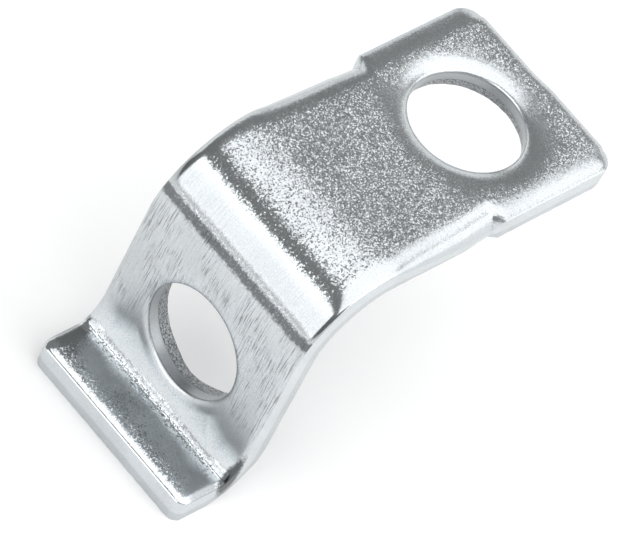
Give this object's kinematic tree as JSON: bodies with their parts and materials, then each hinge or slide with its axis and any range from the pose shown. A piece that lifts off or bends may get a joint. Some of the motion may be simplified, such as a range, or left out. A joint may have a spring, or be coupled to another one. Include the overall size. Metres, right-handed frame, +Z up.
{
  "type": "cranked fixing strap",
  "caption": "Z-shaped cranked strap of thick zinc-plated steel strip, with a large bolt hole in its long plate, another in its upright web, and a short foot.",
  "frame": {"origin": "centre of the plate's bolt hole, on the underside of the plate, where the plate seats", "axes": "+Z up through the plate hole, +X along the plate towards its free end, web and foot below at -X, +Y across the strip"},
  "size_m": [0.0515, 0.025, 0.0342],
  "materials": {
    "zinc_plated_steel": "bright zinc plate over tumbled, punched steel strip"
  },
  "bodies": {
    "root": {"strap": "zinc_plated_steel"}
  },
  "joints": []
}
